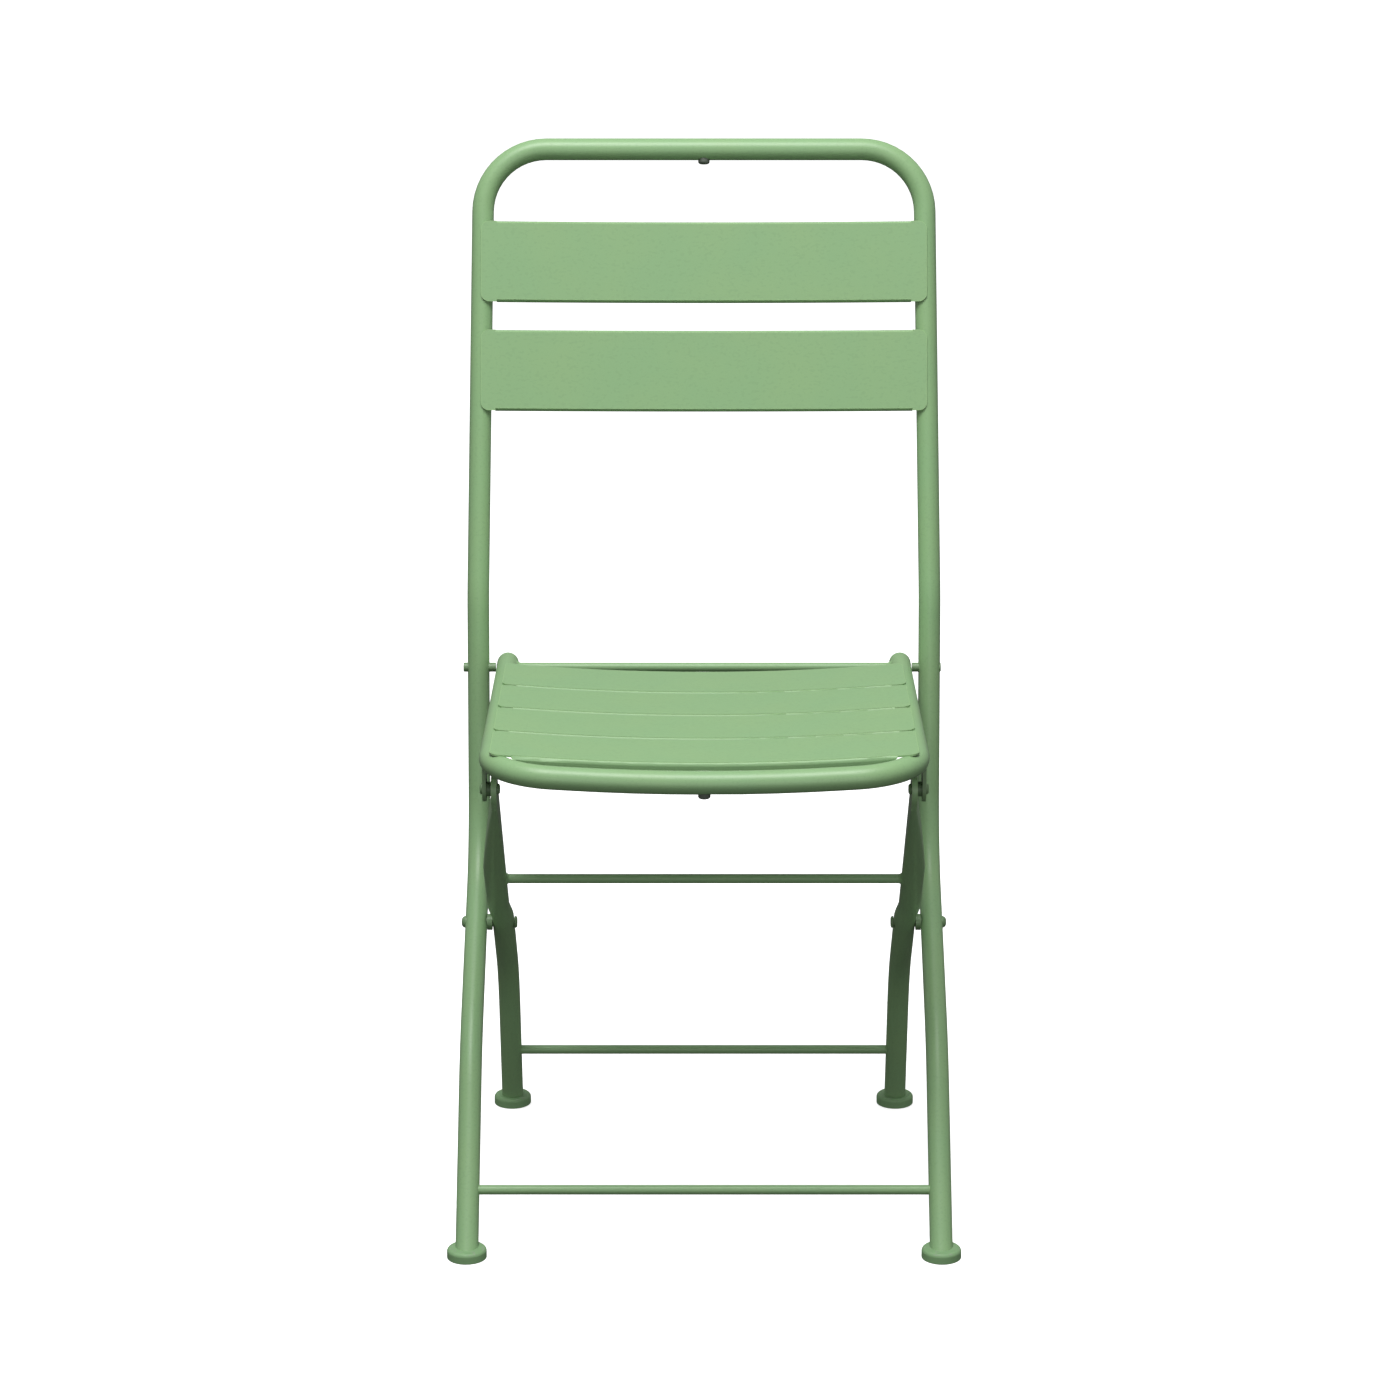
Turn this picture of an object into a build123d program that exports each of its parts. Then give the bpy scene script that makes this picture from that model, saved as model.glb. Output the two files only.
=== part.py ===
from build123d import *
import math
import os

# Folding metal chair: one bent tube makes the front legs, back uprights and
# crest; a pair of rear legs crosses it at the scissor pins; a slatted seat is
# hung on the tops of the rear legs and rides on studs in the uprights.
# Millimetres, +Z up, the front of the chair faces -Y, +X is to the right of
# someone who faces the chair. The origin is on the floor, at the middle of
# the open chair's footprint box.

# ---------------------------------------------------------------- tube stock
tube_d = 19.0
tube_wall = 1.5
rod_d = 8.0
sheet = 1.5

# ------------------------------------------- side view, from the front feet
frame_half = 196.5        # middle plane to the axis of an upright
knee_y, knee_z = 112.0, 146.0
hip_y, hip_z = 294.0, 263.0
root_y, root_z = 331.0, 480.0
back_lean = 18.0          # degrees from upright, above the root bend
crest_z = 851.0           # axis of the crest rail
crest_draw_in = 4.3       # how much nearer the middle each upright is at the crest
knee_r, hip_r, root_r, crest_r = 200.0, 110.0, 150.0, 55.0

# ------------------------------------------------------------------- pivots
scissor_y, scissor_z = 223.0, 217.0
stud_y, stud_z = 320.5, 418.0
scissor_gap = 4.5         # between main tube and rear leg, taken by a washer
seat_gap = 6.0            # between upright and seat side tube
running = 0.15            # end play beside a face that turns
bore_play = 0.05          # radial play of a pin in its hole

# --------------------------------------------------------------------- seat
seat_tilt = 2.0           # degrees, front edge up
seat_slats = 4
seat_slat_w = 74.0
seat_slat_gap = 2.5
seat_dish = 7.5
seat_rear_setback = 29.5  # stud to the rear edge of the rear slat
seat_front_reach = 20.5   # front edge of the front slat to the front rail axis
seat_tail = 14.5          # stud to the start of the domed tube end
cap_spigot = 7.0          # length of the end cap inside the tube
slot_play = 0.2           # radial play of the stud in the side tube's slot
seat_corner_r = 50.0
seat_front_dip = 10.6     # drop of the front rail's middle point
seat_front_dip_r = 1780.0

# --------------------------------------------------------------------- back
back_slat_w = 70.4
back_slat_gap = 24.6
back_slat_below_crest = 64.0
back_slat_inset = 2.5     # slat end to the upright's axis at the root
back_bow = 8.0

# ----------------------------------------------------------- slat edges
flange = 5.0
shoulder_r = 3.2
flange_clear = 3.0        # flange end to the side tube
cope_clear = 0.5          # front slat's fold to the inside of the seat tube's corner
cope_depth = 2.0          # below the tube's top, where the slanted end of that fold stops
slat_corner_r = 7.0
weld_gap = 0.03           # between a slat and the tube it is welded to
slat_end_margin = 0.5     # degrees of arc cut off beyond each end

# ---------------------------------------------------------------- rear legs
rear_foot_y = 350.0
rear_knee_drop = 110.0    # scissor pin to the rear knee, along the leg
rear_knee_r = 150.0
rear_flare = 3.0          # how much further out the leg is above its joggle
joggle_from, joggle_to, joggle_r = 14.0, 36.0, 60.0
blade_t, blade_w = 4.5, 26.0
blade_inner = 1.0         # blade inner face, in from the tube's inner face
blade_start, blade_blend = 15.0, 150.0
blade_sections = 5        # along the spread from the blade to the round tube
blade_bulge = 0.25        # how much the spread runs ahead of a straight taper
blade_seam = 0.25         # share of the spread that is pressed solid
blade_edge_flat = 0.1     # left between the two roundings of the blade's edge
upper_rod_up = 90.0       # above the scissor pin, along the leg
lower_rod_z = 58.0
front_rod_z = 46.5

# ---------------------------------------------------------------- seat tabs
tab_from_front = 64.0     # behind the front rail axis
tab_drop = 30.0
tab_t, tab_w = 3.0, 20.0
tab_inset = 2.0           # outer face of the side tube to outer face of the tab

# ---------------------------------------------------------- pins and washers
scissor_pin_d = 8.0
scissor_head_d, scissor_head_t = 10.5, 3.2
scissor_inner_head_t = 2.2
head_sink = 1.2           # how far the outer head reaches down the tube's round side
dome_share = 0.85         # share of a head's height taken by its rounding
washer_d = 14.0
stud_d = 8.0
stud_proud_left, stud_proud_right = 3.6, 0.6
stud_clear = 0.4          # end of the stud to the side tube
stud_chamfer = 0.5
tab_pin_d, tab_head_d, tab_head_t = 6.0, 9.0, 2.4
spacer_d = 12.0

# --------------------------------------------------------------------- feet
foot_d, foot_h, foot_rim, foot_floor = 33.0, 9.0, 3.2, 3.0
socket_play = 0.1

# -------------------------------------------------------------------- plugs
plug_d, plug_h, plug_stem_d, plug_stem = 10.0, 3.4, 5.0, 4.0
plug_round_share = 0.6    # share of the head's height taken by its rounding

tube_r = tube_d / 2
rod_r = rod_d / 2
lean = math.radians(back_lean)
tilt = math.radians(seat_tilt)
crest_y = root_y + (crest_z - root_z) * math.tan(lean)
crest_half = frame_half - crest_draw_in
back_slat_length = 2 * (frame_half - back_slat_inset)

# The chair's box runs from the seat's front rail, or the front feet if they
# reach further, to the back of the crest.
seat_slat_span = seat_slats * seat_slat_w + (seat_slats - 1) * seat_slat_gap
seat_front = -(seat_rear_setback + seat_slat_span + seat_front_reach)
rail_front_y = stud_y + seat_front * math.cos(tilt) - tube_r
origin_y = (crest_y + tube_r + min(rail_front_y, -foot_d / 2)) / 2

rear_half = frame_half - tube_r - scissor_gap - tube_r
upper_half = rear_half + rear_flare
seat_half = frame_half - tube_r - seat_gap - tube_r


def side(y, z, x=0.0):
    """A point given from the front feet, in the chair's own frame."""
    return Vector(x, y - origin_y, z)


scissor = side(scissor_y, scissor_z)
stud = side(stud_y, stud_z)

# The seat's own frame: x across, y rearward along the side tubes, z up
# through the slats, with its origin between the two studs.
seat_plane = Plane(origin=stud, x_dir=(1, 0, 0), z_dir=(0, math.sin(tilt), math.cos(tilt)))
tab_place = seat_front + tab_from_front
tab_pin = seat_plane.from_local_coords(Vector(0, tab_place, -tab_drop))

# The back's own frame: x across, y up along the uprights, z forward.
back_plane = Plane(
    origin=side(root_y, root_z), x_dir=(1, 0, 0), z_dir=(0, -math.cos(lean), math.sin(lean))
)
crest_up = (crest_z - root_z) / math.cos(lean)

# The rear leg's line, from the tab pin down through the scissor pin.
leg_down = (scissor - tab_pin).normalized()
leg_length = (scissor - tab_pin).length
rear_knee = scissor + leg_down * rear_knee_drop
rear_foot = side(rear_foot_y, 0)

# Folded, the side tube lies beside the rear leg, so the stud has come this
# near to the tab along the tube. The slot in the tube runs that far.
stud_reach = math.sqrt((stud - scissor).length ** 2 - tab_drop**2)
slot_front = tab_place + leg_length - stud_reach


def rounded_path(points, radii):
    """Straight runs joined by tangent arcs, one radius for each inner point."""
    edges = []
    start = points[0]
    for before, corner, after, radius in zip(points, points[1:], points[2:], radii):
        to_before = (before - corner).normalized()
        to_after = (after - corner).normalized()
        half_angle = math.radians(to_before.get_angle(to_after)) / 2
        setback = radius / math.tan(half_angle)
        arc_start = corner + to_before * setback
        arc_end = corner + to_after * setback
        inward = (to_before + to_after).normalized()
        arc_middle = corner + inward * (radius / math.sin(half_angle) - radius)
        edges.append(Edge.make_line(start, arc_start))
        edges.append(Edge.make_three_point_arc(arc_start, arc_middle, arc_end))
        start = arc_end
    edges.append(Edge.make_line(start, points[-1]))
    return Wire(edges)


def swept_round(path, radius):
    section = Plane(origin=path @ 0, z_dir=path % 0) * Circle(radius)
    return sweep(section, path=path)


def bent_tube(points, radii):
    """The solid outer shape of a bent tube, and its bore."""
    path = rounded_path(points, radii)
    return swept_round(path, tube_r), swept_round(path, tube_r - tube_wall)


def cylinder_between(start, end, radius):
    along = end - start
    section = Plane(origin=start, z_dir=along) * Circle(radius)
    return extrude(section, amount=along.length)


def cross_bar(centre, inner, outer, radius):
    """A round bar along X from inner to outer, on the right of centre."""
    start = Vector(inner, centre.Y, centre.Z)
    end = Vector(outer, centre.Y, centre.Z)
    return cylinder_between(start, end, radius)


def both_sides(shape):
    return Compound(children=[shape, mirror(shape, about=Plane.YZ)])


def above_floor(height):
    """A large block from the given height up."""
    size = 3 * crest_z
    return Pos(0, 0, height) * Box(size, size, size, align=(Align.CENTER, Align.CENTER, Align.MIN))


# ------------------------------------------------------------------- slats
def arc_band(section, centre_z, half_angle):
    """A section in the YZ plane, carried along an arc about a line parallel to Y."""
    pivot = Axis((0, 0, centre_z), (0, 1, 0))
    start = section.rotate(pivot, -half_angle)
    return revolve(start, axis=pivot, revolution_arc=2 * half_angle)


def slat(half_length, rail_half, width, bow, front_room, rear_room):
    """A bowed strip of sheet that rests on two tubes, with turned-down edges.

    The tube axes are at z = 0, at x = +-rail_half; the strip touches their tops.
    The turned-down edges, at -Y and +Y, each stay inside their own room.
    """
    under_r = (rail_half**2 + bow**2) / (2 * bow)
    touch_r = under_r + tube_r + weld_gap
    centre_z = math.sqrt(touch_r**2 - rail_half**2)
    bottom = centre_z - under_r
    half_angle = math.degrees(math.asin(half_length / under_r)) + slat_end_margin

    def strip(strip_width):
        flat = Rectangle(strip_width, sheet, align=(Align.CENTER, Align.MIN))
        return arc_band(Plane.YZ * Pos(0, bottom, 0) * flat, centre_z, half_angle)

    between_tubes = Pos(0, -width, 0) * front_room + Pos(0, width, 0) * rear_room
    plan = extrude(RectangleRounded(2 * half_length, width, slat_corner_r), amount=2 * tube_d, both=True)
    middle = strip(width - 2 * shoulder_r + 2 * sheet) & plan
    ends = (strip(width) - between_tubes) & plan
    edges = arc_band(edge_channel(width, bottom), centre_z, half_angle) & between_tubes
    return middle + edges + ends


def straight_room(half, width):
    """Room for a turned-down edge that stops square at x = +-half."""
    return Box(2 * half, 2 * width, 4 * tube_d)


def coped_room(foot_half, top_half, width):
    """Room for a turned-down edge with slanted ends, wider above than at its foot."""
    reach = 2 * tube_d
    right = [
        (foot_half, -reach),
        (foot_half, tube_r - flange),
        (top_half, tube_r - cope_depth),
        (top_half, reach),
    ]
    left = [(-x, z) for x, z in right[::-1]]
    outline = Polyline(*right, *left, close=True)
    return extrude(Plane.XZ * make_face(outline), amount=width, both=True)


def edge_channel(width, bottom):
    """The slat's section with both edges turned down, in the YZ plane."""
    depth = flange + sheet
    block = Rectangle(width, depth, align=(Align.CENTER, Align.MAX))
    block = fillet(block.vertices().group_by(Axis.Y)[-1], shoulder_r)
    hollow = Rectangle(width - 2 * sheet, depth, align=(Align.CENTER, Align.MAX))
    hollow = fillet(hollow.vertices().group_by(Axis.Y)[-1], shoulder_r - sheet)
    channel = block - Pos(0, -sheet, 0) * hollow
    return Plane.YZ * Pos(0, bottom + sheet, 0) * channel


# -------------------------------------------------------------- main frame
def main_frame_line():
    """Axis points of the main tube, from the left foot over the crest to the right."""
    below = side(0, 0) + (side(0, 0) - side(knee_y, knee_z)).normalized() * tube_d
    leg = [below, side(knee_y, knee_z), side(hip_y, hip_z), side(root_y, root_z)]
    left = [Vector(-frame_half, p.Y, p.Z) for p in leg]
    right = [Vector(frame_half, p.Y, p.Z) for p in leg]
    top = side(crest_y, crest_z)
    crest = [Vector(-crest_half, top.Y, top.Z), Vector(crest_half, top.Y, top.Z)]
    return left + crest + right[::-1]


def upright_half(up):
    """Middle plane to upright axis, at a height up the back's own frame."""
    return frame_half - crest_draw_in * up / crest_up


def main_frame():
    radii = [knee_r, hip_r, root_r, crest_r, crest_r, root_r, hip_r, knee_r]
    outer, bore = bent_tube(main_frame_line(), radii)
    outer = outer & above_floor(foot_floor)
    tube = outer - bore
    for centre, pin_d in ((scissor, scissor_pin_d), (stud, stud_d)):
        hole = cross_bar(centre, -2 * frame_half, 2 * frame_half, pin_d / 2 + bore_play)
        tube = tube - hole
    tube = tube - plug_hole(crest_under())
    return outer, tube


def back_slat(top_up):
    middle_up = top_up - back_slat_w / 2
    rail_half = upright_half(middle_up)
    room = straight_room(upright_half(top_up) - tube_r - flange_clear, back_slat_w)
    strip = slat(back_slat_length / 2, rail_half, back_slat_w, back_bow, room, room)
    return back_plane.location * (Pos(0, middle_up, 0) * strip)


def front_rod(frame_outer):
    knee_slope = knee_z / knee_y
    centre = side(front_rod_z / knee_slope, front_rod_z)
    return cross_bar(centre, -frame_half, frame_half, rod_r) - frame_outer


# --------------------------------------------------------------- plugs
def crest_under():
    """A frame on the crest's underside, at its middle, looking out of the tube."""
    top = side(crest_y, crest_z)
    down = -back_plane.y_dir
    return Plane(origin=top + down * tube_r, x_dir=(1, 0, 0), z_dir=down)


def seat_under():
    """A frame on the underside of the seat's front rail, at its middle."""
    turn = 2 * math.atan(seat_front_dip / seat_half)
    rise = seat_front_dip_r * (1 / math.cos(turn / 2) - 1)
    centre = Vector(0, seat_front, -seat_front_dip + rise)
    down = -seat_plane.z_dir
    origin = seat_plane.from_local_coords(centre) + down * tube_r
    return Plane(origin=origin, x_dir=(1, 0, 0), z_dir=down)


def plug_hole(place):
    return place.location * Cylinder(plug_stem_d / 2 + bore_play, 4 * tube_wall)


def plug(place, tube_outer):
    head = Cylinder(plug_d / 2, plug_h + tube_wall, align=(Align.CENTER, Align.CENTER, Align.MIN))
    head = Pos(0, 0, -tube_wall) * head
    head = fillet(head.edges().group_by(Axis.Z)[-1], plug_h * plug_round_share)
    head = place.location * head - tube_outer
    stem = Cylinder(plug_stem_d / 2, plug_stem, align=(Align.CENTER, Align.CENTER, Align.MAX))
    stem = Pos(0, 0, tube_wall / 2) * stem
    return head + place.location * stem


# --------------------------------------------------------------------- feet
def foot(centre_x, ground, leg_direction):
    """A round glide with a slanted socket for the end of a leg."""
    disc = Cylinder(foot_d / 2, foot_h, align=(Align.CENTER, Align.CENTER, Align.MIN))
    disc = fillet(disc.edges().group_by(Axis.Z)[-1], foot_rim)
    disc = fillet(disc.edges().group_by(Axis.Z)[0], foot_rim / 4)
    at = Vector(centre_x, ground.Y, 0)
    disc = Pos(at.X, at.Y + leg_direction.Y / leg_direction.Z * foot_h / 2, 0) * disc
    socket_foot = at - leg_direction * tube_d
    socket_top = at + leg_direction * 2 * tube_d
    socket = cylinder_between(socket_foot, socket_top, tube_r + socket_play)
    return disc - (socket & above_floor(foot_floor))


# -------------------------------------------------------------- rear legs
def blade_solid():
    """The right leg's flattened top: its solid spread, and the blade with the spread hollow."""
    face = Plane(origin=tab_pin, x_dir=leg_down, z_dir=(1, 0, 0))
    inner = upper_half - tube_r + blade_inner
    eye = Circle(blade_w / 2)
    neck = Pos(blade_start / 2, 0) * Rectangle(blade_start, blade_w)
    blade = extrude(face * (eye + neck), amount=blade_t)
    blade = Pos(inner, 0, 0) * blade
    shares = [index / (blade_sections - 1) for index in range(blade_sections)]
    spread = loft([spread_section(share, 0) for share in shares])
    hollow = loft([spread_section(share, tube_wall) for share in shares if share >= blade_seam])
    return spread, blade + (spread - hollow)


def spread_section(share, inset):
    """The leg's section where it spreads from the flat blade into the round tube."""
    grown = share + blade_bulge * share * (1 - share)
    thick = blade_t + (tube_d - blade_t) * grown
    wide = blade_w + (tube_d - blade_w) * share
    wide = max(wide, thick + 2 * blade_edge_flat)
    first = upper_half - tube_r + blade_inner + blade_t / 2
    place = tab_pin + leg_down * (blade_start + (blade_blend - blade_start) * share)
    centre = Vector(first + (upper_half - first) * grown, place.Y, place.Z)
    section = Plane(origin=centre, x_dir=(1, 0, 0), z_dir=leg_down)
    thick = thick - 2 * inset
    wide = wide - 2 * inset
    return section * RectangleRounded(thick, wide, thick / 2 - blade_edge_flat)


def rear_leg():
    """The right rear leg's solid outer shapes, and the finished leg."""
    def at(point, half):
        return Vector(half, point.Y, point.Z)

    top = tab_pin + leg_down * blade_blend
    joggle_top = scissor - leg_down * joggle_to
    joggle_foot = scissor - leg_down * joggle_from
    below = rear_foot + (rear_foot - rear_knee).normalized() * tube_d
    points = [
        at(top, upper_half),
        at(joggle_top, upper_half),
        at(joggle_foot, rear_half),
        at(rear_knee, rear_half),
        at(below, rear_half),
    ]
    outer, bore = bent_tube(points, [joggle_r, joggle_r, rear_knee_r])
    outer = outer & above_floor(foot_floor)
    spread, blade = blade_solid()
    leg = (outer - bore) + blade
    leg = leg - cross_bar(scissor, 0, 2 * rear_half, scissor_pin_d / 2 + bore_play)
    leg = leg - cross_bar(tab_pin, 0, 2 * rear_half, tab_pin_d / 2 + bore_play)
    return [outer, spread], leg


def rear_rod(centre, half, leg_shapes):
    rod = cross_bar(centre, -half, half, rod_r)
    for shape in leg_shapes:
        rod = rod - shape - mirror(shape, about=Plane.YZ)
    return rod


# --------------------------------------------------------------------- seat
def seat_frame():
    """The seat's bent tube, in its own frame."""
    tail = Vector(-seat_half, seat_tail, 0)
    corner = Vector(-seat_half, seat_front, 0)
    middle = Vector(0, seat_front, -seat_front_dip)
    points = [tail, corner, middle, Vector(seat_half, seat_front, 0), Vector(seat_half, seat_tail, 0)]
    outer, bore = bent_tube(points, [seat_corner_r, seat_front_dip_r, seat_corner_r])
    tube = outer - bore
    slot_w = stud_d + 2 * slot_play
    slot_centre = slot_front / 2
    slot = SlotCenterToCenter(-slot_front, slot_w)
    cut = extrude(Plane.YZ * Pos(slot_centre, 0) * slot, amount=tube_r)
    cut = Pos(seat_half + tube_r / 2, 0, 0) * cut
    tube = tube - cut - mirror(cut, about=Plane.YZ)
    place = seat_plane.location
    tube = place * tube - plug_hole(seat_under())
    return place * outer, tube


def corner_inside(height):
    """Middle plane to the inside of the seat tube's corner, along the front slat's front edge.

    The height is above the tube's axis.
    """
    inside_r = seat_corner_r - math.sqrt(tube_r**2 - height**2)
    from_centre = seat_corner_r - seat_front_reach
    return seat_half - seat_corner_r + math.sqrt(inside_r**2 - from_centre**2)


def seat_slat(index):
    """Slat number index, counted from the rear, starting at 0."""
    centre_y = -seat_rear_setback - seat_slat_w / 2 - index * (seat_slat_w + seat_slat_gap)
    rear_room = straight_room(seat_half - tube_r - flange_clear, seat_slat_w)
    front_room = rear_room
    if index == seat_slats - 1:
        foot_half = corner_inside(tube_r - flange) - cope_clear
        top_half = corner_inside(tube_r - cope_depth) - cope_clear
        front_room = coped_room(foot_half, top_half, seat_slat_w)
    strip = slat(seat_half, seat_half, seat_slat_w, seat_dish, front_room, rear_room)
    return seat_plane.location * (Pos(0, centre_y, 0) * strip)


def seat_end_cap():
    """A domed end with a spigot in the tube, on the right side tube."""
    dome = Sphere(tube_r) & Box(tube_d, tube_d, tube_d, align=(Align.CENTER, Align.MIN, Align.CENTER))
    spigot_r = tube_r - tube_wall - bore_play
    spigot = Cylinder(spigot_r, cap_spigot, align=(Align.CENTER, Align.CENTER, Align.MIN))
    spigot = Rot(90, 0, 0) * spigot
    cap = Pos(seat_half, seat_tail, 0) * (dome + spigot)
    return seat_plane.location * cap


def tab_outer_face():
    return seat_half + tube_r - tab_inset


def seat_tab(seat_outer):
    """The right tab, a rounded plate welded to the side tube's underside."""
    face = Plane(origin=tab_pin, x_dir=seat_plane.y_dir, z_dir=(1, 0, 0))
    plate = Circle(tab_w / 2) + Pos(0, tab_drop / 2) * Rectangle(tab_w, tab_drop)
    tab = extrude(face * plate, amount=tab_t)
    tab = Pos(tab_outer_face() - tab_t, 0, 0) * tab
    tab = tab - seat_outer
    tab = tab.solids().sort_by(Axis.Z)[0]
    return tab - cross_bar(tab_pin, 0, 2 * seat_half, tab_pin_d / 2 + bore_play)


# --------------------------------------------------------- pins and washers
def domed(centre, base, top, radius):
    """A domed head from base towards top, along X."""
    height = abs(top - base)
    head = Cylinder(radius, height, align=(Align.CENTER, Align.CENTER, Align.MIN))
    head = fillet(head.edges().group_by(Axis.Z)[-1], height * dome_share)
    outward = 1 if top > base else -1
    place = Plane(origin=Vector(base, centre.Y, centre.Z), z_dir=(outward, 0, 0))
    return place.location * head


def scissor_rivet(frame_outer):
    inner_face = rear_half - tube_r - running
    shank = cross_bar(scissor, inner_face, frame_half + tube_r, scissor_pin_d / 2)
    outer_base = frame_half + tube_r - head_sink
    outer_head = domed(scissor, outer_base, frame_half + tube_r + scissor_head_t, scissor_head_d / 2)
    inner_head = domed(scissor, inner_face, inner_face - scissor_inner_head_t, scissor_head_d / 2)
    return (outer_head - frame_outer) + shank + inner_head


def scissor_washer():
    ring = cross_bar(scissor, rear_half + tube_r + running, frame_half - tube_r, washer_d / 2)
    return ring - cross_bar(scissor, 0, 2 * frame_half, scissor_pin_d / 2 + bore_play)


def seat_stud(proud):
    """A stud through the right upright that faces the slot in the seat tube."""
    inner = seat_half + tube_r + stud_clear
    outer = frame_half + tube_r + proud
    stud_bar = cross_bar(stud, inner, outer, stud_d / 2)
    return chamfer(stud_bar.edges().group_by(Axis.X)[-1], stud_chamfer)


def tab_rivet():
    blade_inner_face = upper_half - tube_r + blade_inner
    outer = tab_outer_face()
    inner = blade_inner_face - running
    shank = cross_bar(tab_pin, inner, outer, tab_pin_d / 2)
    outer_head = domed(tab_pin, outer, outer + tab_head_t, tab_head_d / 2)
    inner_head = domed(tab_pin, inner, inner - tab_head_t, tab_head_d / 2)
    return shank + outer_head + inner_head


def tab_spacer():
    blade_outer_face = upper_half - tube_r + blade_inner + blade_t
    ring = cross_bar(tab_pin, blade_outer_face + running, tab_outer_face() - tab_t, spacer_d / 2)
    return ring - cross_bar(tab_pin, 0, 2 * seat_half, tab_pin_d / 2 + bore_play)


# ------------------------------------------------------------------- build
def build():
    nodes = {}
    frame_outer, nodes["main_frame_tube"] = main_frame()
    upper_top = crest_up - back_slat_below_crest
    nodes["upper_back_slat"] = back_slat(upper_top)
    nodes["lower_back_slat"] = back_slat(upper_top - back_slat_w - back_slat_gap)
    nodes["front_cross_rod"] = front_rod(frame_outer)
    nodes["crest_plug"] = plug(crest_under(), frame_outer)
    leg_up = (side(knee_y, knee_z) - side(0, 0)).normalized()
    nodes["front_foot_left"] = foot(-frame_half, side(0, 0), leg_up)
    nodes["front_foot_right"] = foot(frame_half, side(0, 0), leg_up)
    nodes["scissor_rivets"] = both_sides(scissor_rivet(frame_outer))
    nodes["scissor_washers"] = both_sides(scissor_washer())
    nodes["seat_stud_left"] = mirror(seat_stud(stud_proud_left), about=Plane.YZ)
    nodes["seat_stud_right"] = seat_stud(stud_proud_right)

    leg_shapes, leg = rear_leg()
    nodes["rear_leg_right"] = leg
    nodes["rear_leg_left"] = mirror(leg, about=Plane.YZ)
    upper_rod = scissor - leg_down * upper_rod_up
    nodes["upper_rear_rod"] = rear_rod(upper_rod, upper_half, leg_shapes)
    shin = (rear_foot - rear_knee).normalized()
    lower_rod = rear_foot - shin * (lower_rod_z / -shin.Z)
    nodes["lower_rear_rod"] = rear_rod(lower_rod, rear_half, leg_shapes)
    nodes["rear_foot_left"] = foot(-rear_half, rear_foot, -shin)
    nodes["rear_foot_right"] = foot(rear_half, rear_foot, -shin)

    seat_outer, nodes["seat_frame_tube"] = seat_frame()
    nodes["seat_rear_rod"] = cross_bar(stud, -seat_half, seat_half, rod_r) - seat_outer
    for index in range(seat_slats):
        nodes[f"seat_slat_{index + 1}"] = seat_slat(index)
    tab = seat_tab(seat_outer)
    nodes["seat_tab_right"] = tab
    nodes["seat_tab_left"] = mirror(tab, about=Plane.YZ)
    nodes["tab_rivets"] = both_sides(tab_rivet())
    nodes["tab_spacers"] = both_sides(tab_spacer())
    nodes["seat_end_caps"] = both_sides(seat_end_cap())
    nodes["seat_plug"] = plug(seat_under(), seat_outer)
    return nodes


os.makedirs("parts", exist_ok=True)
for name, shape in build().items():
    export_step(shape, f"parts/{name}.step")
    print(f"{name:20s} {len(shape.solids())} solid(s), {shape.volume:10.1f} mm3")
fold_open = math.degrees(math.atan2(-leg_down.Z, -leg_down.Y))
print("scissor", scissor, "tab pin", tab_pin, "stud", stud)
print("leg line angle", round(fold_open, 3), "leg length", round(leg_length, 3))
print("stud reach", round(stud_reach, 3))
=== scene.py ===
import bpy
import math
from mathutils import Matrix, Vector


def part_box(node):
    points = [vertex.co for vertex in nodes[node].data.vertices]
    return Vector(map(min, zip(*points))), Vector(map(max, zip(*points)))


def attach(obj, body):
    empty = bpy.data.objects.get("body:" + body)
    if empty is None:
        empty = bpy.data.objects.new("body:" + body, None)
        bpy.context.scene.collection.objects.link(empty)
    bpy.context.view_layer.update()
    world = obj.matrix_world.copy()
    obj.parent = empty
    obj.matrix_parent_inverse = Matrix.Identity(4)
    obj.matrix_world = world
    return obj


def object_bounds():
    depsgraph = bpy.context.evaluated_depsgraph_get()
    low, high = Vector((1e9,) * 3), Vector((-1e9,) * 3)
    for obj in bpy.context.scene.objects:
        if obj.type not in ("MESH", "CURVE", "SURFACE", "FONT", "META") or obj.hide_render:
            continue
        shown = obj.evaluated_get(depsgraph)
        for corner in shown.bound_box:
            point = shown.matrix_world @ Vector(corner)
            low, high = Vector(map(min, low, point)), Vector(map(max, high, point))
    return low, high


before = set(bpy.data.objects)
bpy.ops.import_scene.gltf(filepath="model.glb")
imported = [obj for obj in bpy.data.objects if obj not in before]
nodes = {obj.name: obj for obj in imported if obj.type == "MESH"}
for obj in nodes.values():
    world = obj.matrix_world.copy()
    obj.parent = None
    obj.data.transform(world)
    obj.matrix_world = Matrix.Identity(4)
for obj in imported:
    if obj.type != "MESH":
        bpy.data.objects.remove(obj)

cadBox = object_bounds()
print("frame loaded:", len(nodes), "nodes")


# a wrapped socket, so that masks can be written as sums
class Mask:
    def __init__(self, tree, socket):
        self.tree = tree
        self.socket = socket

    def combine(self, operation, first, second):
        made = self.tree.nodes.new("ShaderNodeMath")
        made.operation = operation
        for place, value in zip(made.inputs, (first, second)):
            if isinstance(value, Mask):
                self.tree.links.new(value.socket, place)
            else:
                place.default_value = value
        return Mask(self.tree, made.outputs[0])

    def __add__(self, other):
        return self.combine("ADD", self, other)

    __radd__ = __add__

    def __mul__(self, other):
        return self.combine("MULTIPLY", self, other)

    __rmul__ = __mul__

    def __sub__(self, other):
        return self.combine("SUBTRACT", self, other)

    def __rsub__(self, other):
        return self.combine("SUBTRACT", other, self)


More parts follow.
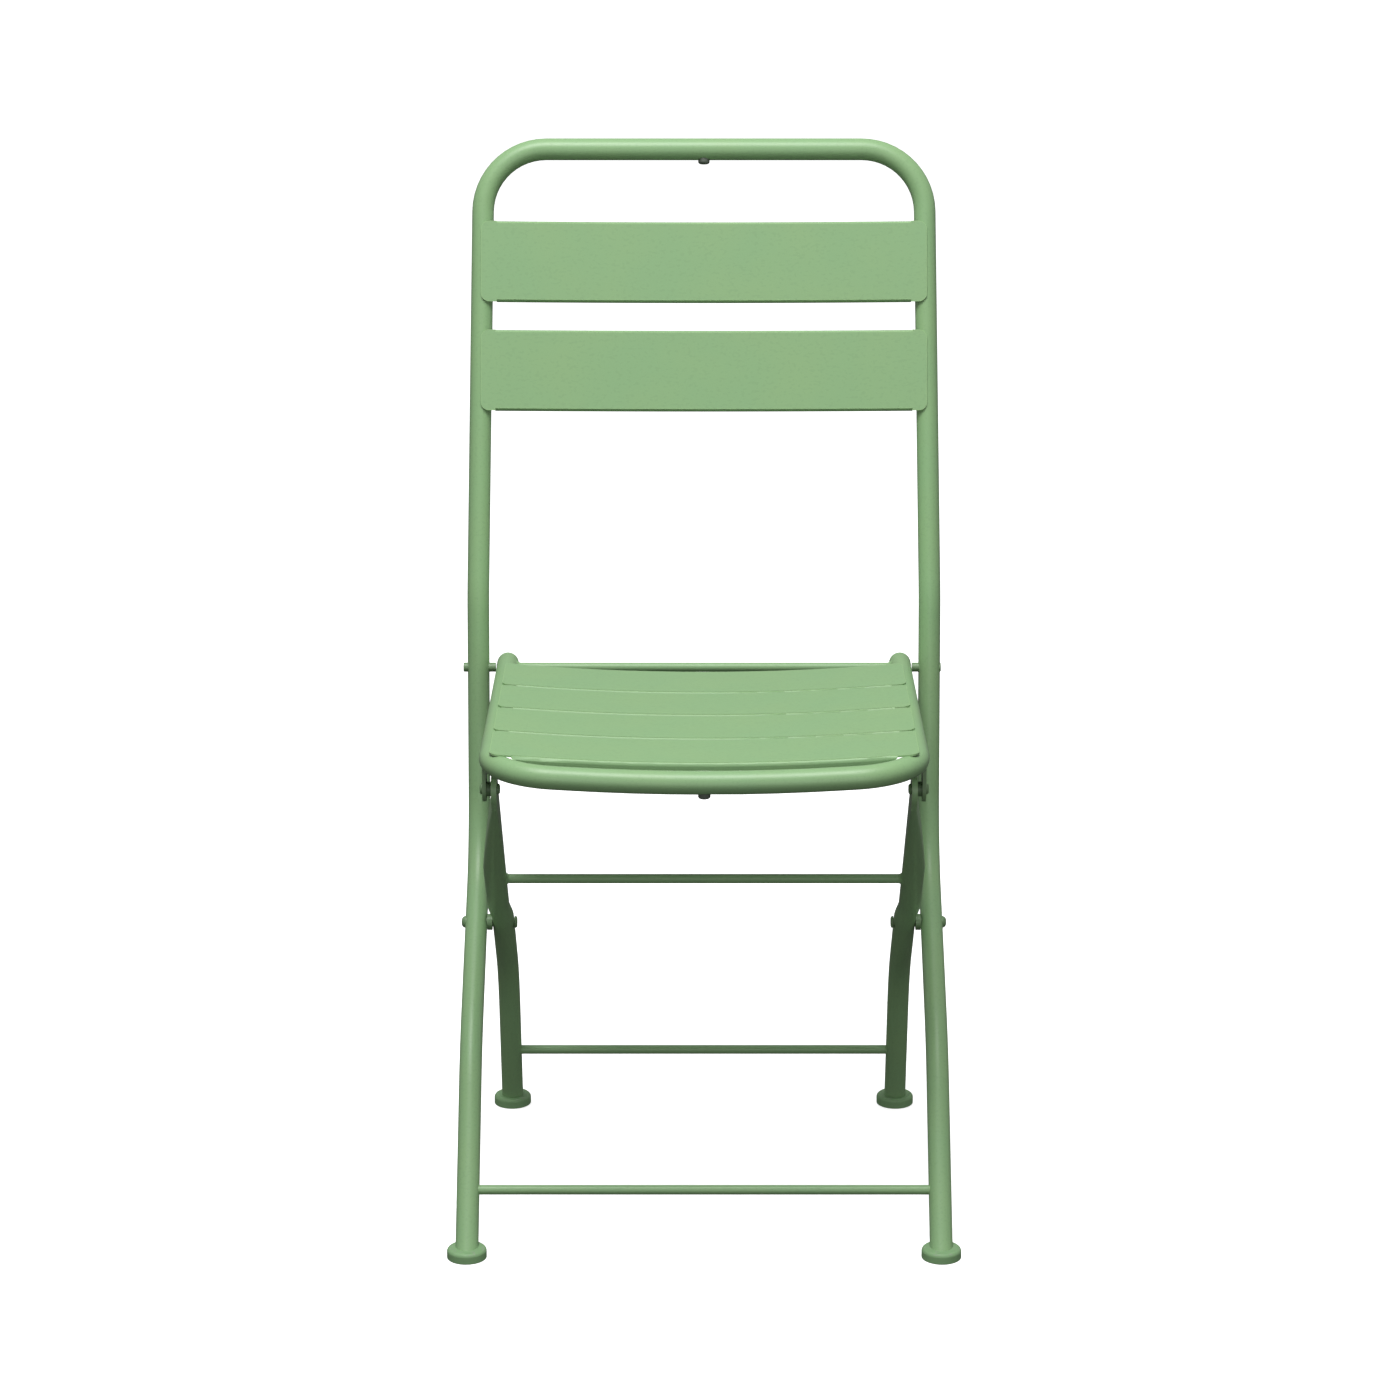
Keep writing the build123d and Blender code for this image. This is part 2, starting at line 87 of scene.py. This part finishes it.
class Finish:
    # one material, built node by node
    def __init__(self, name):
        self.material = bpy.data.materials.new(name)
        self.material.use_nodes = True
        self.tree = self.material.node_tree
        self.tree.nodes.clear()

    def node(self, kind, settings=None, inputs=None):
        made = self.tree.nodes.new("ShaderNode" + kind)
        for key, value in (settings or {}).items():
            if key == "stops":
                for stop, (place, grey) in zip(made.color_ramp.elements, value):
                    stop.position = place
                    stop.color = (grey, grey, grey, 1)
            else:
                setattr(made, key, value)
        for key, value in (inputs or {}).items():
            place = made.inputs[key]
            if isinstance(value, Mask):
                self.tree.links.new(value.socket, place)
            else:
                place.default_value = value
        return made

    def out(self, made, socket=0):
        return Mask(self.tree, made.outputs[socket])

    def noise(self, where, size, detail=2.0, roughness=0.5):
        # size is the width of one blotch in metres
        made = self.node("TexNoise", {}, {
            "Vector": where, "Scale": 1 / size, "Detail": detail, "Roughness": roughness})
        return self.out(made, "Fac")

    def ramp(self, value, low, high):
        made = self.node("ValToRGB", {"stops": ((low, 0), (high, 1))}, {"Fac": value})
        return self.out(made, "Color")

    def blend(self, share, first, second):
        made = self.node("Mix", {"data_type": "RGBA"})
        for key, value in ((0, share), (6, first), (7, second)):
            if isinstance(value, Mask):
                self.tree.links.new(value.socket, made.inputs[key])
            else:
                made.inputs[key].default_value = value
        return Mask(self.tree, made.outputs[2])


def rgba(colour):
    return (*colour, 1.0)


def shaded(colour, share):
    return tuple(c * share for c in colour)


# sage green powder coat, on everything that was in the paint shop
coatSettings = {
    "green": (0.255, 0.440, 0.212),
    "yellower": (0.285, 0.452, 0.205),    # warm side of the blotches
    "blotchSize": 0.055,
    "blotchRamp": (0.34, 0.68),
    "blotchShare": 0.4,
    "peelSize": 0.0021,                   # orange peel, one cell
    "peelRamp": (0.60, 0.34),
    "peelShare": 0.34,
    "peelHollowTone": 0.86,
    "peelBump": 0.55,
    "grainSize": 0.00055,                 # powder grain
    "grainRamp": (0.58, 0.76),
    "grainShare": 0.20,
    "grainShade": 1.22,
    "grainBump": 0.28,
    "grainDepth": 0.00004,
    "edgeReach": 0.0011,                  # corners and folds within this are painted lighter, a painted highlight
    "edgeRamp": (0.01, 0.16),
    "edgeHighlightTone": 1.30,
    "paintedShadeReach": 0.009,                   # folds and joints closer than this are painted darker, a painted shade
    "paintedShadeRamp": (0.35, 0.95),
    "paintedShadeTone": 0.38,
    "samples": 6,
    "roughPeel": 0.07,
    "roughGrain": 0.06,
    "roughEdge": 0.10,
    "roughPaintedShade": 0.12,
    "ior": 1.5,
    "gloss": 0.12,
    "glossRough": 0.38,
}


def powderCoat(name, peelDepth, rough, edgeHighlightShare, rolled=1.0, tint=1.0, paintedShadeDepth=0.45):
    s = {**coatSettings}
    s["green"] = shaded(s["green"], tint)
    s["yellower"] = shaded(s["yellower"], tint)
    f = Finish(name)
    place = f.out(f.node("TexCoord"), "Object")
    drawn = f.out(f.node("Mapping", {}, {"Vector": place, "Scale": (1 / rolled, 1, 1)}))
    blotch = f.noise(place, s["blotchSize"], detail=3)
    peel = f.noise(drawn, s["peelSize"], roughness=0.45)
    grain = f.noise(place, s["grainSize"], detail=3, roughness=0.6)

    # corners and folds: how far the rounded normal turns from the true one
    true = f.out(f.node("NewGeometry"), "Normal")
    rounded = f.out(f.node("Bevel", {"samples": s["samples"]}, {"Radius": s["edgeReach"]}))
    turn = f.node("VectorMath", {"operation": "DOT_PRODUCT"}, {0: true, 1: rounded})
    edge = f.ramp(1 - f.out(turn, "Value"), *s["edgeRamp"])
    shadeOcclusion = f.node("AmbientOcclusion", {"samples": s["samples"]}, {"Distance": s["paintedShadeReach"]})
    paintedShade = f.ramp(1 - f.out(shadeOcclusion, "AO"), *s["paintedShadeRamp"])

    warm = f.ramp(blotch, *s["blotchRamp"]) * s["blotchShare"]
    # painted shade: the hollows of the orange peel painted darker
    low = f.ramp(peel, *s["peelRamp"]) * s["peelShare"]
    speck = f.ramp(grain, *s["grainRamp"]) * s["grainShare"]
    colour = f.blend(warm, rgba(s["green"]), rgba(s["yellower"]))
    colour = f.blend(low, colour, rgba(shaded(s["green"], s["peelHollowTone"])))
    colour = f.blend(speck, colour, rgba(shaded(s["yellower"], s["grainShade"])))
    # painted highlight: corners and folds painted lighter in colour
    colour = f.blend(edge * edgeHighlightShare, colour, rgba(shaded(s["yellower"], s["edgeHighlightTone"])))
    # painted shade: folds and joints painted darker where ambient occlusion finds them
    colour = f.blend(paintedShade * paintedShadeDepth, colour, rgba(shaded(s["green"], s["paintedShadeTone"])))

    roughness = rough + s["roughPeel"] * peel + s["roughGrain"] * grain
    roughness = roughness - s["roughEdge"] * edge + s["roughPaintedShade"] * paintedShade
    fine = f.out(f.node("Bump", {}, {
        "Height": grain, "Strength": s["grainBump"], "Distance": s["grainDepth"]}))
    wavy = f.out(f.node("Bump", {}, {
        "Height": peel, "Strength": s["peelBump"], "Distance": peelDepth, "Normal": fine}))
    shader = f.node("BsdfPrincipled", {}, {
        "Base Color": colour, "Roughness": roughness, "Normal": wavy,
        "IOR": s["ior"], "Coat Weight": s["gloss"], "Coat Roughness": s["glossRough"]})
    f.node("OutputMaterial", {}, {"Surface": f.out(shader)})
    return f.material


# moulded feet and tube ends, a duller green of the same shade
plasticSettings = {
    "green": (0.225, 0.400, 0.190),
    "sparkSize": 0.0009,
    "sparkShare": 0.25,
    "sparkShade": 0.8,
    "sparkBump": 0.5,
    "sparkDepth": 0.00006,
    "flowSize": 0.012,
    "flowShare": 0.6,
    "flowShade": 1.12,
    "scuffSize": 0.0035,
    "scuffRamp": (0.52, 0.68),
    "scuffShare": 0.5,
    "scuffed": (0.33, 0.36, 0.30),
    "scuffUp": (0.75, 0.05),      # centimetres above the floor, from none to full
    "centimetres": 100,           # in a metre
    "rough": 0.46,
    "roughSpark": 0.12,
    "roughScuff": 0.2,
    "ior": 1.47,
}


def mouldedPlastic(name):
    s = plasticSettings
    f = Finish(name)
    place = f.out(f.node("TexCoord"), "Object")
    spark = f.noise(place, s["sparkSize"], detail=3, roughness=0.6)
    flow = f.noise(place, s["flowSize"], detail=3)
    up = f.out(f.node("SeparateXYZ", {}, {"Vector": place}), "Z")
    nearFloor = f.ramp(up * s["centimetres"], *s["scuffUp"])
    rubbed = f.noise(place, s["scuffSize"], detail=4, roughness=0.65)
    scuff = f.ramp(rubbed, *s["scuffRamp"]) * nearFloor
    paler = shaded(s["green"], s["flowShade"])
    colour = f.blend(flow * s["flowShare"], rgba(s["green"]), rgba(paler))
    colour = f.blend(spark * s["sparkShare"], colour, rgba(shaded(s["green"], s["sparkShade"])))
    colour = f.blend(scuff * s["scuffShare"], colour, rgba(s["scuffed"]))
    height = f.out(f.node("Bump", {}, {
        "Height": spark, "Strength": s["sparkBump"], "Distance": s["sparkDepth"]}))
    roughness = s["rough"] + s["roughSpark"] * spark + s["roughScuff"] * scuff
    shader = f.node("BsdfPrincipled", {}, {
        "Base Color": colour, "Roughness": roughness, "Normal": height, "IOR": s["ior"]})
    f.node("OutputMaterial", {}, {"Surface": f.out(shader)})
    return f.material


# the two small soft plugs
plugSettings = {
    "grey": (0.105, 0.125, 0.100),
    "dust": (0.24, 0.27, 0.23),
    "skinSize": 0.0007,
    "skinShare": 0.3,
    "skinShade": 0.6,
    "skinBump": 0.6,
    "skinDepth": 0.00007,
    "dustSize": 0.003,
    "dustRamp": (0.45, 0.75),
    "dustShare": 0.35,
    "rough": 0.58,
    "roughDust": 0.2,
    "ior": 1.5,
}


def softPlug(name):
    s = plugSettings
    f = Finish(name)
    place = f.out(f.node("TexCoord"), "Object")
    skin = f.noise(place, s["skinSize"], detail=3, roughness=0.6)
    dust = f.ramp(f.noise(place, s["dustSize"], detail=4), *s["dustRamp"])
    colour = f.blend(dust * s["dustShare"], rgba(s["grey"]), rgba(s["dust"]))
    colour = f.blend(skin * s["skinShare"], colour, rgba(shaded(s["grey"], s["skinShade"])))
    height = f.out(f.node("Bump", {}, {
        "Height": skin, "Strength": s["skinBump"], "Distance": s["skinDepth"]}))
    roughness = s["rough"] + s["roughDust"] * dust
    shader = f.node("BsdfPrincipled", {}, {
        "Base Color": colour, "Roughness": roughness, "Normal": height, "IOR": s["ior"]})
    f.node("OutputMaterial", {}, {"Surface": f.out(shader)})
    return f.material


sheetCoat = powderCoat("slat_coat", peelDepth=0.000045, rough=0.43, edgeHighlightShare=0.85,
                       rolled=1.7, paintedShadeDepth=0.8)
tubeCoat = powderCoat("tube_coat", peelDepth=0.000055, rough=0.37, edgeHighlightShare=0.45)
rodCoat = powderCoat("rod_coat", peelDepth=0.00004, rough=0.39, edgeHighlightShare=0.4)
hardwareCoat = powderCoat("hardware_coat", peelDepth=0.00003, rough=0.40, edgeHighlightShare=0.55,
                          tint=0.62, paintedShadeDepth=0.7)
weldCoat = powderCoat("weld_coat", peelDepth=0.00007, rough=0.42, edgeHighlightShare=0.3)
footPlastic = mouldedPlastic("foot_plastic")
plugSkin = softPlug("plug_skin")
print("finishes made:", len(bpy.data.materials))


# each CAD node gets its finish by what it is
finishFor = (
    ("slat", sheetCoat),
    ("plug", plugSkin),
    ("foot", footPlastic),
    ("caps", footPlastic),
    ("rod", rodCoat),
    ("rivets", hardwareCoat),
    ("washers", hardwareCoat),
    ("stud", hardwareCoat),
    ("spacers", hardwareCoat),
    ("tab", hardwareCoat),
    ("", tubeCoat),
)
for name, piece in nodes.items():
    finish = next(material for word, material in finishFor if word in name)
    piece.data.materials.clear()
    piece.data.materials.append(finish)
print("finishes given to", len(nodes), "nodes")


# places taken from the frame
def centre(name):
    low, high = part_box(name)
    return (Vector(low) + Vector(high)) / 2


def farSide(name):
    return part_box(name)[1][0]


tubeR = farSide("main_frame_tube") - centre("front_foot_right").x
rodR = (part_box("front_cross_rod")[1][2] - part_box("front_cross_rod")[0][2]) / 2


def addMesh(name, points, faces, body, finish):
    shape = bpy.data.meshes.new(name)
    shape.from_pydata([tuple(p) for p in points], [], faces)
    shape.update()
    shape.polygons.foreach_set("use_smooth", [True] * len(shape.polygons))
    piece = bpy.data.objects.new(name, shape)
    bpy.context.scene.collection.objects.link(piece)
    shape.materials.append(finish)
    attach(piece, body)
    return piece


def grid(rows, columns, closed):
    # quads between rows of points; closed joins the last column to the first
    faces = []
    last = columns if closed else columns - 1
    for row in range(rows - 1):
        for column in range(last):
            here = row * columns + column
            there = row * columns + (column + 1) % columns
            faces.append((here, there, there + columns, here + columns))
    return faces


# weld fillets where a cross rod runs into a tube
rodWeld = {
    "reach": 0.0036,      # along the rod, and out over the tube
    "ripple": 0.00016,
    "ripples": 11,
    "around": 64,
    "across": 9,
    "sink": 0.00015,      # edges dip into the metal, so no gap shows
    "swell": 0.10,        # fuller and thinner by this share on the way around
    "swellTurn": 1.7,     # turns that pattern from one rod to the next
}


def rodFillets(name, body, rod, tubeHalf, along, seed):
    s = rodWeld
    along = along.normalized()
    perp = Vector((0, -along.z, along.y))
    points, faces = [], []
    for side in (-1, 1):
        first = len(points)
        for row in range(s["across"]):
            t = math.pi / 2 * row / (s["across"] - 1)
            for column in range(s["around"]):
                a = 2 * math.pi * column / s["around"]
                wave = 1 + s["ripple"] / s["reach"] * math.sin(s["ripples"] * a + seed + side)
                swell = s["swell"] * math.sin(2 * a + s["swellTurn"] * seed)
                reach = s["reach"] * wave * (1 + swell)
                out = rodR - s["sink"] + reach * (1 - math.cos(t))
                offset = (along * math.cos(a) + perp * math.sin(a)) * out
                w = offset.dot(perp)
                skin = tubeHalf - math.sqrt(tubeR ** 2 - w ** 2) + s["sink"]
                x = skin - reach * (1 - math.sin(t))
                points.append(Vector((side * x, rod.y + offset.y, rod.z + offset.z)))
        for quad in grid(s["across"], s["around"], True):
            quad = tuple(first + corner for corner in quad)
            faces.append(quad if side > 0 else quad[::-1])
    return addMesh(name, points, faces, body, weldCoat)


shinFront = centre("front_cross_rod") - centre("front_foot_right")
shinRear = centre("lower_rear_rod") - centre("rear_foot_right")
legUp = centre("tab_rivets") - centre("scissor_washers")
seatBack = centre("seat_slat_1") - centre("seat_slat_4")
backUp = centre("upper_back_slat") - centre("lower_back_slat")
seatHalf = farSide("seat_end_caps") - tubeR
rodFillets("weld_front_rod", "main_frame", centre("front_cross_rod"),
           centre("front_foot_right").x, shinFront, 0.3)
rodFillets("weld_upper_rear_rod", "rear_legs", centre("upper_rear_rod"),
           farSide("rear_leg_right") - tubeR, legUp, 1.1)
rodFillets("weld_lower_rear_rod", "rear_legs", centre("lower_rear_rod"),
           centre("rear_foot_right").x, shinRear, 2.2)
rodFillets("weld_seat_rear_rod", "seat", centre("seat_rear_rod"), seatHalf, seatBack, 3.4)
print("rod welds made")


# weld beads between the slats and the tubes they lie on
slatWeld = {
    "reach": 0.0062,       # across, from the line of contact
    "margin": 0.009,       # left unwelded at each edge of the slat
    "step": 0.0006,
    "pitch": 0.0024,       # one ripple
    "ripple": 0.00020,
    "sag": 0.0006,         # hollow of the bead
    "across": 7,
    "endShare": 0.25,      # width at the very end of a bead
    "endLength": 0.005,    # over which it widens
    "sway": 0.05,          # slow change of width along the bead
    "swayTurn": 310,       # radians of it in a metre
    "tubeShare": 0.86,     # reach over the tube, of the reach over the slat
    "steepest": 0.95,      # sine of the furthest angle around the tube
    "slatLift": 0.0002,    # edge on the slat, into the sheet
    "bowShare": 0.5,       # how far the slat falls away across the bead, of its bow
    "tubeSink": 0.0001,    # edge on the tube, into the tube
    "slant": 0.7,          # the bead bulges as much sideways as outwards
    "drawIn": 0.0043,      # uprights nearer the middle at the crest than at the root
    "backLength": 0.390,   # root bend to the crest's axis, along the back
    "leanFrom": 0.55,      # above this the uprights are straight
}


def span(name, direction):
    heights = [v.co.dot(direction) for v in nodes[name].data.vertices]
    return min(heights), max(heights)


def slatBeads(name, body, slats, along, axisHeight, halfAt):
    # axisHeight is the tubes' axis along the outward normal
    s = slatWeld
    along = along.normalized()
    out = Vector((0, -along.z, along.y))
    if out.z < 0:
        out = -out
    points, faces = [], []
    for number, slat in enumerate(slats):
        low, high = span(slat, along)
        low, high = low + s["margin"], high - s["margin"]
        rows = round((high - low) / s["step"])
        bow = span(slat, out)
        half = halfAt((low + high) / 2)
        slope = (bow[1] - bow[0]) / half
        for side in (-1, 1):
            first = len(points)
            for row in range(rows + 1):
                place = low + (high - low) * row / rows
                fromEnd = min(row, rows - row) / rows * (high - low)
                ends = min(1, s["endShare"] + fromEnd / s["endLength"])
                wave = math.sin(2 * math.pi * place / s["pitch"] + number + side)
                sway = s["sway"] * math.sin(place * s["swayTurn"] + number)
                reach = s["reach"] * ends * (1 + sway)
                angle = math.asin(min(s["steepest"], reach * s["tubeShare"] / tubeR))
                slatHeight = tubeR - slope * reach * s["bowShare"] + s["slatLift"]
                tubeHeight = tubeR * math.cos(angle) - s["tubeSink"]
                onSlat = Vector((reach, slatHeight))
                onTube = Vector((tubeR * math.sin(angle), tubeHeight))
                for column in range(s["across"]):
                    t = column / (s["across"] - 1)
                    hollow = math.sin(math.pi * t)
                    spot = onSlat.lerp(onTube, t)
                    lift = hollow * (s["sag"] * ends - s["ripple"] * wave)
                    x = half - spot.x + lift * s["slant"]
                    height = axisHeight + spot.y + lift * s["slant"]
                    points.append(along * place + out * height + Vector((side * x, 0, 0)))
            for quad in grid(rows + 1, s["across"], False):
                quad = tuple(first + corner for corner in quad)
                faces.append(quad if side > 0 else quad[::-1])
    return addMesh(name, points, faces, body, weldCoat)


backDirection = backUp.normalized()
backOut = Vector((0, -backDirection.z, backDirection.y))
seatDirection = seatBack.normalized()
seatOut = Vector((0, -seatDirection.z, seatDirection.y))
if seatOut.z < 0:
    seatOut = -seatOut
frameSpots = [v.co for v in nodes["main_frame_tube"].data.vertices]
crestUp = max(spot.dot(backDirection) for spot in frameSpots) - tubeR
backTop = max(spot.dot(backOut) for spot in frameSpots if spot.z > slatWeld["leanFrom"])
rootUp = crestUp - slatWeld["backLength"]


def uprightHalf(up):
    share = (up - rootUp) / (crestUp - rootUp)
    return centre("front_foot_right").x - slatWeld["drawIn"] * share


slatBeads("weld_back_slats", "main_frame", ["upper_back_slat", "lower_back_slat"],
          backUp, backTop - tubeR, uprightHalf)
slatBeads("weld_seat_slats", "seat", [f"seat_slat_{n}" for n in range(1, 5)],
          seatBack, centre("seat_rear_rod").dot(seatOut), lambda place: seatHalf)
print("slat welds made")


# floor, light and camera
studio = {
    "floor": (0.95, 0.95, 0.948),
    "floorSize": 26.0,
    "floorGlow": 0.75,                  # the floor shines a little, so shadows stay faint
    "floorPatch": 0.4,
    "floorPatchShare": 0.3,
    "floorShade": 0.985,
    "floorRough": 0.85,
    "skyAbove": 0.42,
    "skyBelow": 0.05,
    "skyFrom": -0.5,                    # the sky's gradient, as heights on the unit sphere
    "skyTo": 0.6,
    "keyPower": 96.0,
    "keySize": 1.5,
    "keyPlace": (-0.25, -0.95, 3.55),
    "fillPower": 11.0,
    "fillSize": 1.5,
    "fillPlace": (0.25, -3.0, 0.75),
}
lens = {
    "focal": 109.285714,                # millimetres
    "sensor": 36,
    "place": (-0.0034, -3.4562, 1.4313),
    "down": 16.3,
    "turn": 0.0,
    "roll": 0.0,
}


def paleFloor():
    half = studio["floorSize"] / 2
    shape = bpy.data.meshes.new("floor")
    corners = [(-half, -half, 0), (half, -half, 0), (half, half, 0), (-half, half, 0)]
    shape.from_pydata(corners, [], [(0, 1, 2, 3)])
    floor = bpy.data.objects.new("floor", shape)
    bpy.context.scene.collection.objects.link(floor)
    f = Finish("floor_white")
    place = f.out(f.node("TexCoord"), "Object")
    patch = f.noise(place, studio["floorPatch"]) * studio["floorPatchShare"]
    greyer = shaded(studio["floor"], studio["floorShade"])
    colour = f.blend(patch, rgba(studio["floor"]), rgba(greyer))
    shader = f.node("BsdfPrincipled", {}, {
        "Base Color": colour, "Roughness": studio["floorRough"],
        "Emission Color": (1, 1, 1, 1), "Emission Strength": studio["floorGlow"]})
    f.node("OutputMaterial", {}, {"Surface": f.out(shader)})
    shape.materials.append(f.material)
    floor.visible_diffuse = False      # the underside of the chair sees the dim lower sky
    floor.visible_glossy = False


def softLamp(name):
    place = Vector(studio[name + "Place"])
    lamp = bpy.data.lights.new(name, "AREA")
    lamp.energy = studio[name + "Power"]
    lamp.size = studio[name + "Size"]
    holder = bpy.data.objects.new(name, lamp)
    holder.location = place
    aim = (cadBox[0] + cadBox[1]) / 2 - place
    holder.rotation_euler = aim.to_track_quat("-Z", "Y").to_euler()
    bpy.context.scene.collection.objects.link(holder)


def sky():
    world = bpy.data.worlds.new("studio")
    world.use_nodes = True
    tree = world.node_tree
    back = next(n for n in tree.nodes if n.type == "BACKGROUND")
    way = tree.nodes.new("ShaderNodeTexCoord")
    parts = tree.nodes.new("ShaderNodeSeparateXYZ")
    fade = tree.nodes.new("ShaderNodeMapRange")
    fade.inputs["From Min"].default_value = studio["skyFrom"]
    fade.inputs["From Max"].default_value = studio["skyTo"]
    fade.inputs["To Min"].default_value = studio["skyBelow"]
    fade.inputs["To Max"].default_value = studio["skyAbove"]
    tree.links.new(way.outputs["Generated"], parts.inputs[0])
    tree.links.new(parts.outputs["Z"], fade.inputs["Value"])
    tree.links.new(fade.outputs[0], back.inputs["Strength"])
    back.inputs["Color"].default_value = (1, 1, 1, 1)
    bpy.context.scene.world = world


def camera():
    eye = bpy.data.cameras.new("camera")
    eye.sensor_width = lens["sensor"]
    eye.lens = lens["focal"]
    eye.dof.use_dof = False
    holder = bpy.data.objects.new("camera", eye)
    holder.location = lens["place"]
    holder.rotation_euler = (
        math.radians(90 - lens["down"]), math.radians(lens["roll"]), math.radians(lens["turn"]))
    bpy.context.scene.collection.objects.link(holder)
    bpy.context.scene.camera = holder


paleFloor()
softLamp("key")
softLamp("fill")
sky()
camera()
bpy.context.scene.view_settings.view_transform = "Standard"
print("studio ready")

print("pieces in place")
